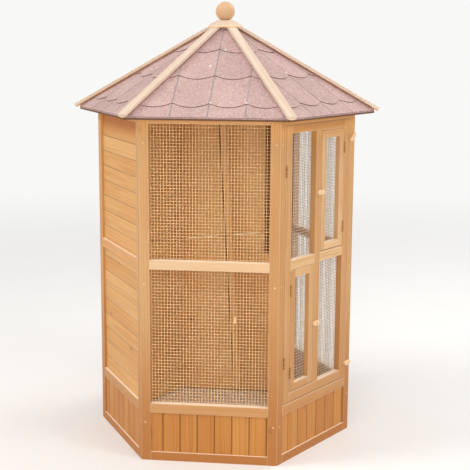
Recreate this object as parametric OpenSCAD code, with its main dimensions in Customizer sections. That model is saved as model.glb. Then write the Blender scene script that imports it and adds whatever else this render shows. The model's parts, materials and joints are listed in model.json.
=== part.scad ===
// Hexagonal garden aviary: framed walls, three boarded and two wired sides,
// a wired door with two hatches, and a shingled roof with a ball finial.
// Side 0 faces -Y, and the sides count on towards +X (the door is side 1).

/* [Walls] */
// Length of one wall side over its outer corners
side_length = 545; // [500:1:600]
// Thickness of the wall frames
frame_t = 28; // [24:1:34]
// Face width of the corner stiles
stile_w = 37; // [32:1:44]
// Height of the plinth rail on the ground
plinth_h = 36; // [24:1:50]
// Height of the skirting between plinth rail and lower rail
skirting_h = 164; // [120:1:220]
// Height of the lower rail
lower_rail_h = 40; // [30:1:50]
// Clear height of the lower fields
lower_field_h = 545; // [480:1:600]
// Height of the mid rail
mid_rail_h = 38; // [32:1:50]
// Clear height of the upper fields
upper_field_h = 533; // [480:1:600]
// Height of the top rail at its outer face
top_rail_h = 61; // [50:1:80]
// Thickness of the wall and skirting boards
board_t = 12; // [8:1:14]
// Distance of the wall boards behind the frame face
board_setback = 10; // [4:1:12]
// Distance of the skirting behind the frame face
skirting_setback = 6; // [2:1:10]

/* [Wire mesh] */
// Thickness of the mesh wires
wire_t = 2; // [1.5:0.1:2.5]
// Spacing of the mesh wires
wire_pitch = 38; // [26:1:50]
// Width of the mesh edge that lies on its frame
mesh_lap = 10; // [6:1:11]

/* [Main door] */
// Gap around the main door
door_gap = 5; // [4:0.5:6]
// Face width of the door stiles
door_stile_w = 38; // [36:1:44]
// Height of the door's bottom rail
door_bottom_rail_h = 38; // [30:1:50]
// Height of the door's top rail
door_top_rail_h = 32; // [26:1:40]
// Width of the muntin in the middle of the door
muntin_w = 38; // [36:1:44]
// Height of the lower hinge's middle above the door's bottom edge
door_hinge_low = 169; // [80:1:220]
// Distance of the upper hinge's middle below the door's top edge
door_hinge_top = 175; // [80:1:220]

/* [Hatches] */
// Gap around each hatch
hatch_gap = 5; // [4:0.5:6]
// Thickness of the hatch frames
hatch_t = 22; // [18:1:26]
// Face width of the hatch stiles and rails
hatch_stile_w = 30; // [26:1:36]
// Distance of the hatch hinges from the hatch's ends
hatch_hinge_inset = 78; // [50:1:120]

/* [Hinges] */
// Height of a hinge
hinge_h = 45; // [36:1:54]
// Depth of a hinge leaf behind the door's face
leaf_w = 14; // [11:0.5:16]
// Thickness of a hinge leaf
leaf_t = 1.6; // [1.2:0.1:2]
// Radius of the hinge barrel
barrel_r = 3.2; // [2.8:0.1:3.6]
// Radius of the hinge pin
pin_r = 1.6; // [1.2:0.1:1.8]

/* [Turn buttons] */
// Length of a turn button
button_l = 46; // [40:1:52]
// Width of a turn button
button_w = 18; // [14:1:20]
// Thickness of a turn button
button_t = 11; // [8:0.5:12]
// Radius of the button's screw
screw_r = 2; // [1.5:0.1:2.5]
// Radius of the screw's head
screw_head_r = 4.5; // [3.5:0.1:6]
// Height of the lower door button above the door's bottom edge
door_button_low = 60; // [40:1:120]
// Distance of the upper door button below the door's top edge
door_button_top = 76; // [50:1:120]
// Distance of a door button's screw from the door's edge
door_button_offset = 15; // [14:1:18]
// Distance of a hatch button's screw from the muntin's middle
hatch_button_offset = 8; // [6:1:10]
// Angle at which the upper door button stands
top_button_tilt = 40; // [0:1:60]

/* [Roof] */
// Pitch of the roof faces
roof_pitch = 33.3; // [28:0.1:38]
// Overhang of the roof beyond the wall faces
eave_overhang = 68; // [50:1:90]
// Thickness of the roof deck
deck_t = 8.5; // [6:0.5:14]
// Thickness of the shingle covering
shingle_t = 4; // [3:0.5:6]
// Overhang of the shingles beyond the deck's edge
shingle_drip = 3; // [0:0.5:6]
// Width of the hip battens
batten_w = 36; // [28:1:44]
// Thickness of the hip battens
batten_t = 16; // [12:0.5:22]
// Overhang of the battens beyond the roof's corners
batten_overhang = 20; // [10:1:30]
// Radius of the cap over its lower corners
cap_r = 73; // [66:1:90]
// Radius of the cap over its upper corners
cap_top_r = 35; // [30:1:45]
// Height of the cap
cap_h = 30; // [20:1:40]
// Height of the cap's upright edge
cap_lip = 8; // [4:1:12]
// Diameter of the ball finial
ball_d = 79; // [60:1:90]

/* [Perch] */
// Diameter of the perch
perch_d = 8; // [6:1:16]
// Distance of the perch from the middle of its two walls
perch_offset = 182; // [0:1:200]

/* [Hidden] */
$fn = 48;
SIDES = [0, 1, 2, 3, 4, 5];
FRONT = SIDES[0];
DOOR_SIDE = SIDES[1];
BACK_RIGHT = SIDES[2];
BACK = SIDES[3];
BACK_LEFT = SIDES[4];
FRONT_LEFT = SIDES[5];
corner_angle = 60;
mitre = tan(corner_angle / 2);
pin_clearance = 0.05;
knuckle_gap = 0.3;
button_gap = 0.5;
ball_seat = 4;
cap_seat_margin = 4;
batten_head = 10;
hip_gap = 1.5;
cut_margin = 1;

apothem = side_length * cos(corner_angle / 2);
inner_w = side_length - 2 * stile_w;
inner_face = apothem - frame_t;
skirting_z = plinth_h;
lower_rail_z = skirting_z + skirting_h;
lower_field_z = lower_rail_z + lower_rail_h;
mid_rail_z = lower_field_z + lower_field_h;
upper_field_z = mid_rail_z + mid_rail_h;
top_rail_z = upper_field_z + upper_field_h;
wall_h = top_rail_z + top_rail_h;

door_w = inner_w - 2 * door_gap;
door_z = lower_field_z + door_gap;
door_top = top_rail_z - door_gap;
bay_w = (door_w - 2 * door_stile_w - muntin_w) / 2;
bay_x = (muntin_w + bay_w) / 2;
low_bay_z = door_z + door_bottom_rail_h;
low_bay_h = mid_rail_z - low_bay_z;
top_bay_z = upper_field_z;
top_bay_h = door_top - door_top_rail_h - top_bay_z;
hatch_w = bay_w - 2 * hatch_gap;
low_hatch_z = low_bay_z + hatch_gap;
low_hatch_h = low_bay_h - 2 * hatch_gap;
top_hatch_z = top_bay_z + hatch_gap;
top_hatch_h = top_bay_h - 2 * hatch_gap;
door_axis_x = -(door_w + door_gap) / 2;
low_hatch_axis_x = -bay_x - (hatch_w + hatch_gap) / 2;
top_hatch_axis_x = bay_x + (hatch_w + hatch_gap) / 2;
door_hinge_zs = [door_z + door_hinge_low, door_top - door_hinge_top];
low_hatch_hinge_zs = [low_hatch_z + hatch_hinge_inset, low_hatch_z + low_hatch_h - hatch_hinge_inset];
top_hatch_hinge_zs = [top_hatch_z + hatch_hinge_inset, top_hatch_z + top_hatch_h - hatch_hinge_inset];

door_button_x = door_w / 2 + door_button_offset;
low_button_z = door_z + door_button_low;
top_button_z = door_top - door_button_top;
low_hatch_button_z = low_hatch_z + low_hatch_h / 2;
top_hatch_button_z = top_hatch_z + top_hatch_h / 2;

slope = tan(roof_pitch);
hip_pitch = atan(slope * cos(corner_angle / 2));
deck_rise = deck_t / cos(roof_pitch);
shingle_rise = shingle_t / cos(roof_pitch);
roof_rise = deck_rise + shingle_rise;
batten_rise = batten_t / cos(hip_pitch);
deck_eave = apothem + eave_overhang - shingle_drip;
shingle_eave = apothem + eave_overhang;
batten_tip = shingle_eave / cos(corner_angle / 2) + batten_overhang;
// Height of the deck's underside at a distance d from the roof's axis
function under_z(d) = wall_h + (apothem - d) * slope;
// Height of the shingles along a hip, at a distance r from the roof's axis
function hip_z(r) = under_z(r * cos(corner_angle / 2)) + roof_rise;
cap_z = hip_z(cap_r + cap_seat_margin) + batten_rise;
roof_hole = apothem - (cap_z - cut_margin - wall_h - roof_rise) / slope;
batten_top_r = roof_hole / cos(corner_angle / 2) + batten_head;
roof_reach = 2 * batten_tip;

pine = "burlywood";
pale_pine = "wheat";
wire = "silver";
hinge_metal = "dimgray";

// A wall side's own frame: x along the side, y inwards from its outer face
module side(i) {
    rotate(corner_angle * i) translate([0, -apothem, 0]) children();
}

// A side's frame about the roof's axis: x outwards along the side's normal
module facing(i) {
    rotate(corner_angle * i - 90) children();
}

// The space below the plane that lies rise above the deck's underside
module below_roof(rise) {
    rotate([90, 0, 0]) linear_extrude(roof_reach, center = true) polygon([
        [0, -cut_margin], [roof_reach, -cut_margin],
        [roof_reach, under_z(roof_reach) + rise], [0, under_z(0) + rise]]);
}

// One corner stile, mitred against its neighbour; hand -1 is the left end seen from outside
module stile(i, hand) {
    corner_x = hand * side_length / 2;
    inner_x = hand * inner_w / 2;
    intersection() {
        side(i) linear_extrude(under_z(inner_face) + cut_margin) polygon([
            [corner_x, 0], [inner_x, 0], [inner_x, frame_t], [corner_x - hand * frame_t * mitre, frame_t]]);
        facing(i) below_roof(0);
    }
}

// A piece that fills a side between its stiles
module infill(i, setback, thickness, z, h) {
    side(i) translate([-inner_w / 2, setback, z]) cube([inner_w, thickness, h]);
}

// A wire mesh behind a clear opening w by h, with its edge lapped onto the frame
module mesh(w, h) {
    full_w = w + 2 * mesh_lap;
    full_h = h + 2 * mesh_lap;
    columns = round(full_w / wire_pitch);
    rows = round(full_h / wire_pitch);
    step_x = (full_w - wire_t) / columns;
    step_z = (full_h - wire_t) / rows;
    color(wire) translate([-full_w / 2, wire_t, -full_h / 2]) rotate([90, 0, 0]) linear_extrude(wire_t)
        difference() {
            square([full_w, full_h]);
            for (c = [0 : columns - 1], r = [0 : rows - 1])
                translate([wire_t + c * step_x, wire_t + r * step_z]) square([step_x - wire_t, step_z - wire_t]);
        }
}

module side_mesh(i, z, h) {
    side(i) translate([0, frame_t, z + h / 2]) mesh(inner_w, h);
}

// One sloping layer of a roof face, from low to high above the deck's underside
module roof_layer(i, low, high, eave, gap) {
    facing(i) intersection() {
        linear_extrude(under_z(0) + roof_reach) polygon([
            [roof_hole, gap - roof_hole * mitre], [eave, gap - eave * mitre],
            [eave, eave * mitre - gap], [roof_hole, roof_hole * mitre - gap]]);
        rotate([90, 0, 0]) linear_extrude(roof_reach, center = true) polygon([
            [0, under_z(0) + low], [roof_reach, under_z(roof_reach) + low],
            [roof_reach, under_z(roof_reach) + high], [0, under_z(0) + high]]);
    }
}

module roof_panel(i) {
    color(pine) roof_layer(i, 0, deck_rise, deck_eave, 0);
}

// A batten on the hip between two roof faces, cut level below the cap
module hip_batten(k) {
    run = batten_tip - batten_top_r - batten_t * sin(hip_pitch);
    length = run / cos(hip_pitch);
    depth = batten_w * slope;
    rotate(corner_angle * k) difference() {
        intersection() {
            translate([batten_top_r, 0, hip_z(batten_top_r)]) rotate([0, hip_pitch, 0])
                translate([-batten_t, -batten_w / 2, -depth]) cube([length + batten_t, batten_w, batten_t + depth]);
            translate([batten_top_r, -batten_w, 0]) cube([roof_reach, 2 * batten_w, cap_z]);
        }
        for (hand = [-1, 1]) rotate(hand * corner_angle / 2) below_roof(roof_rise);
    }
}

// A frame of two stiles for a door or hatch, x centred
module leaf_stiles(w, z, h, stile, t) {
    for (hand = [-1, 1]) translate([hand * (w - stile) / 2 - stile / 2, 0, z]) cube([stile, t, h]);
}

module hatch_rails(z, h) {
    rail_w = hatch_w - 2 * hatch_stile_w;
    for (rail_z = [z, z + h - hatch_stile_w]) translate([-rail_w / 2, 0, rail_z]) cube([rail_w, hatch_t, hatch_stile_w]);
}

module hatch_mesh(z, h) {
    translate([0, hatch_t, z + h / 2]) mesh(hatch_w - 2 * hatch_stile_w, h - 2 * hatch_stile_w);
}

// A hinge is cut into three knuckles; the outer two belong to the fixed leaf
knuckle_h = hinge_h / 3;

// Where a leaf begins that lies on the edge of its stile, inside the gap
function leaf_x(dir, gap) = dir > 0 ? gap / 2 - leaf_t : -gap / 2;

module leaf_plate(dir, gap) {
    translate([leaf_x(dir, gap), knuckle_gap, -hinge_h / 2]) cube([leaf_t, leaf_w - knuckle_gap, hinge_h]);
}

// A knuckle with the tab that joins it to its leaf
module knuckle(dir, gap, z, h) {
    translate([0, -barrel_r, z]) cylinder(r = barrel_r, h = h);
    translate([leaf_x(dir, gap), -barrel_r, z]) cube([leaf_t, barrel_r + leaf_t, h]);
}

module fixed_leaf(dir, gap) {
    leaf_plate(dir, gap);
    knuckle(dir, gap, -hinge_h / 2, knuckle_h - knuckle_gap);
    knuckle(dir, gap, knuckle_h / 2 + knuckle_gap, knuckle_h - knuckle_gap);
    translate([0, -barrel_r, -hinge_h / 2]) cylinder(r = pin_r, h = hinge_h);
}

module moving_leaf(dir, gap) {
    difference() {
        union() {
            leaf_plate(dir, gap);
            knuckle(dir, gap, -knuckle_h / 2, knuckle_h);
        }
        translate([0, -barrel_r, -hinge_h]) cylinder(r = pin_r + pin_clearance, h = 2 * hinge_h);
    }
}

// Hinges on the door side: every hinge of one edge, at its axis
module hinge_row(axis_x, zs) {
    for (z = zs) side(DOOR_SIDE) translate([axis_x, 0, z]) children();
}

// A turn button with rounded ends and a bore for its screw
module button(x, z, tilt) {
    straight = button_l - button_w;
    color(pine) side(DOOR_SIDE) translate([x, -button_gap, z]) rotate([90, 0, 0]) rotate(tilt)
        linear_extrude(button_t) difference() {
            union() {
                square([straight, button_w], center = true);
                for (hand = [-1, 1]) translate([hand * straight / 2, 0]) circle(d = button_w);
            }
            circle(r = screw_r + pin_clearance);
        }
}

// The round-headed screw on which a button turns
module button_screw(x, z) {
    shank = button_gap + button_t + button_gap;
    color(hinge_metal) side(DOOR_SIDE) translate([x, 0, z]) rotate([90, 0, 0]) {
        cylinder(r = screw_r, h = shank + cut_margin);
        translate([0, 0, shank]) cylinder(r = screw_head_r, h = screw_r);
    }
}

module left_stiles() {
    color(pine) for (i = SIDES) stile(i, -1);
}

module right_stiles() {
    color(pine) for (i = SIDES) stile(i, 1);
}

module plinth_rails() {
    color(pine) for (i = SIDES) infill(i, 0, frame_t, 0, plinth_h);
}

module skirting_boards() {
    color(pine) for (i = SIDES) infill(i, skirting_setback, board_t, skirting_z, skirting_h);
}

module lower_rails() {
    color(pine) for (i = SIDES) infill(i, 0, frame_t, lower_rail_z, lower_rail_h);
}

module mid_rails() {
    color(pine) for (i = SIDES) if (i != DOOR_SIDE) infill(i, 0, frame_t, mid_rail_z, mid_rail_h);
}

module top_rails() {
    color(pine) for (i = SIDES) intersection() {
        infill(i, 0, frame_t, top_rail_z, under_z(inner_face) - top_rail_z + cut_margin);
        facing(i) below_roof(0);
    }
}

module wall_boards(i) {
    color(pine) {
        infill(i, board_setback, board_t, lower_field_z, lower_field_h);
        infill(i, board_setback, board_t, upper_field_z, upper_field_h);
    }
}

module roof_shingles() {
    color("rosybrown") for (i = SIDES) roof_layer(i, deck_rise, roof_rise, shingle_eave, hip_gap);
}

module hip_battens() {
    color(pale_pine) for (k = SIDES) hip_batten(k);
}

// A six-sided cap: an upright edge that tapers to a flat seat for the ball
module roof_cap() {
    color(pale_pine) translate([0, 0, cap_z]) hull() {
        cylinder(r = cap_r, h = cap_lip, $fn = len(SIDES));
        translate([0, 0, cap_h - cut_margin]) cylinder(r = cap_top_r, h = cut_margin, $fn = len(SIDES));
    }
}

module ball_finial() {
    color(pale_pine) translate([0, 0, cap_z + cap_h]) intersection() {
        translate([0, 0, ball_d / 2 - ball_seat]) sphere(d = ball_d);
        cylinder(d = 2 * ball_d, h = 2 * ball_d);
    }
}

module perch() {
    color(pale_pine) facing(BACK_RIGHT) translate([-inner_face, perch_offset, mid_rail_z + mid_rail_h / 2])
        rotate([0, 90, 0]) cylinder(d = perch_d, h = 2 * inner_face);
}

module frame_hinge_leaves() {
    color(hinge_metal) hinge_row(door_axis_x, door_hinge_zs) fixed_leaf(-1, door_gap);
}

module frame_button_screws() {
    for (z = [low_button_z, top_button_z]) button_screw(door_button_x, z);
}

module main_door_stiles() {
    color(pine) side(DOOR_SIDE) leaf_stiles(door_w, door_z, door_top - door_z, door_stile_w, frame_t);
}

module main_door_rails() {
    full_w = door_w - 2 * door_stile_w;
    color(pine) side(DOOR_SIDE) {
        translate([-full_w / 2, 0, door_z]) cube([full_w, frame_t, door_bottom_rail_h]);
        translate([-full_w / 2, 0, door_top - door_top_rail_h]) cube([full_w, frame_t, door_top_rail_h]);
        for (hand = [-1, 1]) translate([hand * bay_x - bay_w / 2, 0, mid_rail_z]) cube([bay_w, frame_t, mid_rail_h]);
    }
}

module main_door_muntin() {
    color(pine) side(DOOR_SIDE) translate([-muntin_w / 2, 0, low_bay_z])
        cube([muntin_w, frame_t, top_bay_z + top_bay_h - low_bay_z]);
}

module door_upper_mesh() {
    side(DOOR_SIDE) translate([-bay_x, frame_t, top_bay_z + top_bay_h / 2]) mesh(bay_w, top_bay_h);
}

module door_lower_mesh() {
    side(DOOR_SIDE) translate([bay_x, frame_t, low_bay_z + low_bay_h / 2]) mesh(bay_w, low_bay_h);
}

module main_door_hinge_leaves() {
    color(hinge_metal) hinge_row(door_axis_x, door_hinge_zs) moving_leaf(1, door_gap);
}

module door_hatch_hinge_leaves() {
    color(hinge_metal) {
        hinge_row(low_hatch_axis_x, low_hatch_hinge_zs) fixed_leaf(-1, hatch_gap);
        hinge_row(top_hatch_axis_x, top_hatch_hinge_zs) fixed_leaf(1, hatch_gap);
    }
}

module door_button_screws() {
    button_screw(-hatch_button_offset, low_hatch_button_z);
    button_screw(hatch_button_offset, top_hatch_button_z);
}

module upper_hatch_stiles() {
    color(pine) side(DOOR_SIDE) translate([bay_x, 0, 0])
        leaf_stiles(hatch_w, top_hatch_z, top_hatch_h, hatch_stile_w, hatch_t);
}

module upper_hatch_rails() {
    color(pine) side(DOOR_SIDE) translate([bay_x, 0, 0]) hatch_rails(top_hatch_z, top_hatch_h);
}

module upper_hatch_mesh() {
    side(DOOR_SIDE) translate([bay_x, 0, 0]) hatch_mesh(top_hatch_z, top_hatch_h);
}

module upper_hatch_hinge_leaves() {
    color(hinge_metal) hinge_row(top_hatch_axis_x, top_hatch_hinge_zs) moving_leaf(-1, hatch_gap);
}

module lower_hatch_stiles() {
    color(pine) side(DOOR_SIDE) translate([-bay_x, 0, 0])
        leaf_stiles(hatch_w, low_hatch_z, low_hatch_h, hatch_stile_w, hatch_t);
}

module lower_hatch_rails() {
    color(pine) side(DOOR_SIDE) translate([-bay_x, 0, 0]) hatch_rails(low_hatch_z, low_hatch_h);
}

module lower_hatch_mesh() {
    side(DOOR_SIDE) translate([-bay_x, 0, 0]) hatch_mesh(low_hatch_z, low_hatch_h);
}

module lower_hatch_hinge_leaves() {
    color(hinge_metal) hinge_row(low_hatch_axis_x, low_hatch_hinge_zs) moving_leaf(1, hatch_gap);
}

left_stiles();
right_stiles();
plinth_rails();
skirting_boards();
lower_rails();
mid_rails();
top_rails();
wall_boards(FRONT_LEFT);  // front_left_boards
wall_boards(BACK_LEFT);  // back_left_boards
wall_boards(BACK);  // back_boards
side_mesh(FRONT, upper_field_z, upper_field_h);  // front_upper_mesh
side_mesh(FRONT, lower_field_z, lower_field_h);  // front_lower_mesh
side_mesh(BACK_RIGHT, upper_field_z, upper_field_h);  // back_right_upper_mesh
side_mesh(BACK_RIGHT, lower_field_z, lower_field_h);  // back_right_lower_mesh
roof_panel(FRONT);  // front_roof_panel
roof_panel(DOOR_SIDE);  // front_right_roof_panel
roof_panel(BACK_RIGHT);  // back_right_roof_panel
roof_panel(BACK);  // back_roof_panel
roof_panel(BACK_LEFT);  // back_left_roof_panel
roof_panel(FRONT_LEFT);  // front_left_roof_panel
roof_shingles();
hip_battens();
roof_cap();
ball_finial();
perch();
frame_hinge_leaves();
frame_button_screws();
main_door_stiles();
main_door_rails();
main_door_muntin();
door_upper_mesh();
door_lower_mesh();
main_door_hinge_leaves();
door_hatch_hinge_leaves();
door_button_screws();
upper_hatch_stiles();
upper_hatch_rails();
upper_hatch_mesh();
upper_hatch_hinge_leaves();
lower_hatch_stiles();
lower_hatch_rails();
lower_hatch_mesh();
lower_hatch_hinge_leaves();
button(door_button_x, top_button_z, top_button_tilt);  // door_top_button
button(door_button_x, low_button_z, 0);  // door_bottom_button
button(hatch_button_offset, top_hatch_button_z, 0);  // upper_hatch_button
button(-hatch_button_offset, low_hatch_button_z, 0);  // lower_hatch_button
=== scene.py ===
import json
import math
import random

import bmesh
import bpy
from mathutils import Matrix, Vector

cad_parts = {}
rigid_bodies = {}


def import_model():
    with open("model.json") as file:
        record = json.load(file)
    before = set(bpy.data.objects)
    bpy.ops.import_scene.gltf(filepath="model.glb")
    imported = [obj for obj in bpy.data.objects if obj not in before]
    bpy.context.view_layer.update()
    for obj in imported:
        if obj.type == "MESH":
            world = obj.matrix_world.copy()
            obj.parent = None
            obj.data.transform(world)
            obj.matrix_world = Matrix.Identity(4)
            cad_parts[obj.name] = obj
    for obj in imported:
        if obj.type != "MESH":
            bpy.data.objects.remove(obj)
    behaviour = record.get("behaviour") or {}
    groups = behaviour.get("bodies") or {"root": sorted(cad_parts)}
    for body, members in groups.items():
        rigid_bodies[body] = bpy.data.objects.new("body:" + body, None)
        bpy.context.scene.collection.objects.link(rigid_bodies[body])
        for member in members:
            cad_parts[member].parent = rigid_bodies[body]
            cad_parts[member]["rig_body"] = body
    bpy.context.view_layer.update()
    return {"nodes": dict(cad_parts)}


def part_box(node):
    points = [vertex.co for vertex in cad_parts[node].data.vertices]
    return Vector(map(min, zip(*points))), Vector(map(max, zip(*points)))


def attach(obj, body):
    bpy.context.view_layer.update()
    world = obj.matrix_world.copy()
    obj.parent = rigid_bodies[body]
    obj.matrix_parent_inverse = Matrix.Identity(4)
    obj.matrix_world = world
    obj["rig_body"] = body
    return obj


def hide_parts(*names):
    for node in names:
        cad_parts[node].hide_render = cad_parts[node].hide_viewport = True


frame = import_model()
nodes = frame["nodes"]
bodyOf = {name: piece["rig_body"] for name, piece in nodes.items()}


# node recipes: shader maths and geometry trees written as expressions
class Socket:
    def __init__(self, recipe, socket):
        self.recipe, self.socket = recipe, socket

    def sibling(self, label):  # another output of the same node
        return Socket(self.recipe, self.socket.node.outputs[label])

    def maths(self, operation, other=0.0, flip=False):
        first, second = (other, self) if flip else (self, other)
        return self.recipe.node("ShaderNodeMath", {0: first, 1: second}, operation=operation)

    def __add__(self, other):
        return self.maths("ADD", other)

    def __sub__(self, other):
        return self.maths("SUBTRACT", other)

    def __rsub__(self, other):
        return self.maths("SUBTRACT", other, True)

    def __mul__(self, other):
        return self.maths("MULTIPLY", other)

    def __truediv__(self, other):
        return self.maths("DIVIDE", other)

    __radd__, __rmul__ = __add__, __mul__


class Recipe:
    def __init__(self, tree):
        self.tree = tree

    def node(self, kind, inputs=None, out=0, stops=(), **settings):
        made = self.tree.nodes.new(kind)
        for key, value in settings.items():
            setattr(made, key, value)
        for index, (place, level) in enumerate(stops):  # a ramp's stops: place and grey level
            ramp = made.color_ramp.elements
            stop = ramp[index] if index < len(ramp) else ramp.new(1.0)
            stop.position, stop.color = place, (level, level, level, 1)
        for key, value in (inputs or {}).items():
            for item in value if isinstance(value, list) else [value]:
                if isinstance(item, Socket):
                    self.tree.links.new(item.socket, made.inputs[key])
                else:
                    made.inputs[key].default_value = item
        return Socket(self, made.outputs[out]) if made.outputs else None

    def mixed(self, share, first, second):  # two colours
        return self.node("ShaderNodeMix", {0: share, 6: first, 7: second}, 2, data_type="RGBA")

    def scaled(self, vector, amount):
        return self.node("ShaderNodeVectorMath", {0: vector, "Scale": amount}, operation="SCALE")

    def stretched(self, vector, sizes):
        return self.node("ShaderNodeVectorMath", {0: vector, 1: sizes}, operation="MULTIPLY")

    def shifted(self, vector, other):
        return self.node("ShaderNodeVectorMath", {0: vector, 1: other}, operation="ADD")

    def ranged(self, value, low, high, start=0.0, end=1.0):  # an eased step
        limits = {"Value": value, 1: low, 2: high, 3: start, 4: end}
        return self.node("ShaderNodeMapRange", limits, interpolation_type="SMOOTHSTEP")

    def parts(self, vector):
        split = self.node("ShaderNodeSeparateXYZ", {0: vector})
        return [Socket(self, output) for output in split.socket.node.outputs]

    def joined(self, x, y, z):
        return self.node("ShaderNodeCombineXYZ", {0: x, 1: y, 2: z})

    def noise(self, vector, scale, detail, out=0):
        return self.node("ShaderNodeTexNoise", {"Vector": vector, "Scale": scale, "Detail": detail}, out)

    def centred(self, vector):  # noise colours lie about a half
        return self.shifted(vector, (-0.5, -0.5, -0.5))

    def attribute(self, name, out="Fac"):
        return self.node("ShaderNodeAttribute", {}, out, attribute_name=name)

    def objectPlace(self):
        return self.node("ShaderNodeTexCoord", {}, "Object")

    def stored(self, geometry, name, value, domain="FACE", kind="FLOAT"):
        values = {"Geometry": geometry, "Name": name, "Value": value}
        return self.node("GeometryNodeStoreNamedAttribute", values, data_type=kind, domain=domain)

    def row(self, count, start, offset):  # points on a line
        return self.node("GeometryNodeMeshLine", {"Count": count, "Start Location": start, "Offset": offset})

    def drawn(self, low, high, seed):
        return self.node("FunctionNodeRandomValue", {2: low, 3: high, "Seed": seed}, 1, data_type="FLOAT")


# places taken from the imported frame
plinthBox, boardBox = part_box("plinth_rails"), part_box("back_boards")
apothem = plinthBox[1].y
innerWidth = boardBox[1].x - boardBox[0].x
boardThick = boardBox[1].y - boardBox[0].y
boardSetback = apothem - boardBox[1].y
sideCount, sideAngle = 6, 60
mitre = math.tan(math.radians(sideAngle / 2))
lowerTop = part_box("lower_rails")[1].z
midLow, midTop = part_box("mid_rails")[0].z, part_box("mid_rails")[1].z
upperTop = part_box("top_rails")[0].z


def rgb(red, green, blue):  # a colour as it looks on screen
    def level(value):
        share = value / 255
        return share / 12.92 if share <= 0.04045 else ((share + 0.055) / 1.055) ** 2.4
    return (level(red), level(green), level(blue), 1)


def coloursOf(look):  # a look's colours are its tuples
    return {key: rgb(*value) for key, value in look.items() if isinstance(value, tuple)}


def newFinish(name):
    material = bpy.data.materials.new(name)
    material.use_nodes = True
    material.node_tree.nodes.clear()
    return material, Recipe(material.node_tree)


def closeFinish(recipe, inputs, height, strength, depth):
    bump = {"Strength": strength, "Distance": depth, "Height": height}
    inputs["Normal"] = recipe.node("ShaderNodeBump", bump)
    recipe.node("ShaderNodeOutputMaterial", {0: recipe.node("ShaderNodeBsdfPrincipled", inputs)})


# pine: rings about a pith behind the board, fibres, and knots on some boards
woodGrain = {"drawSpread": 913.7, "pithSpread": (7.0, 0.07, 0.06), "pithMiddle": (0, -0.035, 0.03),
             "wave": (1.6, 9, 9), "patch": (2.2, 11, 11), "fibre": (16, 520, 520), "knotsAlong": 6.5,
             "knotsAcross": 9.5, "knotBend": 0.012, "rings": [(0, 0.08), (0.5, 0.2), (0.86, 1.0), (1.0, 0.08)],
             "dampTop": 0.75, "dampFoot": 0.03, "shelterLow": 0.115, "shelterHigh": 0.02, "stainFade": 0.015,
             "groove": 0.34}


def pineFinish(name, look):
    material, r = newFinish(name)
    hues = coloursOf(look)
    grain, tone, edge = r.attribute("grain", "Vector"), r.attribute("tone"), r.attribute("edgeTone")
    draw = r.node("ShaderNodeTexWhiteNoise", {"W": tone * woodGrain["drawSpread"]}, "Color", noise_dimensions="1D")
    pith = r.shifted(r.stretched(draw, woodGrain["pithSpread"]), woodGrain["pithMiddle"])
    place = r.shifted(grain, pith)
    wave = r.noise(r.stretched(place, woodGrain["wave"]), 1.0, 2.0, "Color")
    bent = r.shifted(place, r.stretched(r.centred(wave), (0, look["wander"], look["wander"])))
    along, across, deep = r.parts(bent)
    knotPlace = r.joined(along * woodGrain["knotsAlong"], across * woodGrain["knotsAcross"], 0.0)
    cells = r.node("ShaderNodeTexVoronoi", {"Vector": knotPlace, "Scale": 1.0}, voronoi_dimensions="2D")
    chance, size, _ = r.parts(cells.sibling("Color"))
    picked = chance.maths("LESS_THAN", look["knotShare"])
    near = cells.sibling("Distance") / (0.45 + size * 0.75)
    knot = picked * r.ranged(near, 0.045, 0.105, 1.0, 0.0)
    halo = picked * r.ranged(near, 0.03, 0.30, 1.0, 0.0)
    radius = (across * across + deep * deep).maths("SQRT") + halo * woodGrain["knotBend"]
    ring = (radius / look["ringPitch"]).maths("FRACT")
    late = r.parts(r.node("ShaderNodeValToRGB", {0: ring}, stops=woodGrain["rings"]))[0]
    patch = r.noise(r.stretched(place, woodGrain["patch"]), 1.0, 3.0)
    fibre = r.noise(r.stretched(bent, woodGrain["fibre"]), 1.0, 3.0)
    warmth = tone * look["toneSpread"] + r.ranged(patch, 0.3, 0.7) * look["patchSpread"]
    height = r.parts(r.objectPlace())[2]
    # painted shade: darker towards the foot, where less sky light reaches
    damp = r.ranged(height, woodGrain["dampTop"], woodGrain["dampFoot"])
    # painted light and shade under the eave: in a band below the top rails the colour mixes toward the painted eave hue
    underEave = r.ranged(height, upperTop - woodGrain["shelterLow"], upperTop - woodGrain["shelterHigh"])
    colour = r.mixed(warmth, hues["pale"], hues["warm"])
    for share, hue in ((damp * look["damp"], "late"), (underEave * underEave * look["shelter"], "honey"),
                       (late * look["ringDepth"], "late"), (halo * 0.45, "late"), (knot * 0.6, "knot")):
        colour = r.mixed(share, colour, hues[hue])
    along, fade = r.parts(grain)[0], woodGrain["stainFade"]
    # painted shade: spans along a piece mixed toward the painted shade hue
    for low, high in look["stained"]:
        within = r.ranged(along, low - fade, low + fade) * r.ranged(along, high + fade, high - fade)
        colour = r.mixed(within, colour, hues["stain"])
    # negative edge tone darkens the colour: dark joints, and the painted shade of the wall boards' down-facing bevels
    colour = r.scaled(colour, (0.93 + fibre * 0.14) * (1 + edge.maths("MINIMUM", 0.0) * woodGrain["groove"]))
    # positive edge tone mixes toward the pale edge hue: a painted highlight on rail tops and up-facing wall board
    # bevels, and paler eased arrises
    colour = r.mixed(edge.maths("MAXIMUM", 0.0), colour, hues["bleach"])
    closeFinish(r, {"Base Color": colour, "Roughness": look["rough"] + late * 0.08 - fibre * 0.06,
                    "Specular IOR Level": look["gloss"]},
                fibre * 0.5 + late * 0.5 - knot * 0.3, 0.25, 0.0004)
    return material


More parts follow.
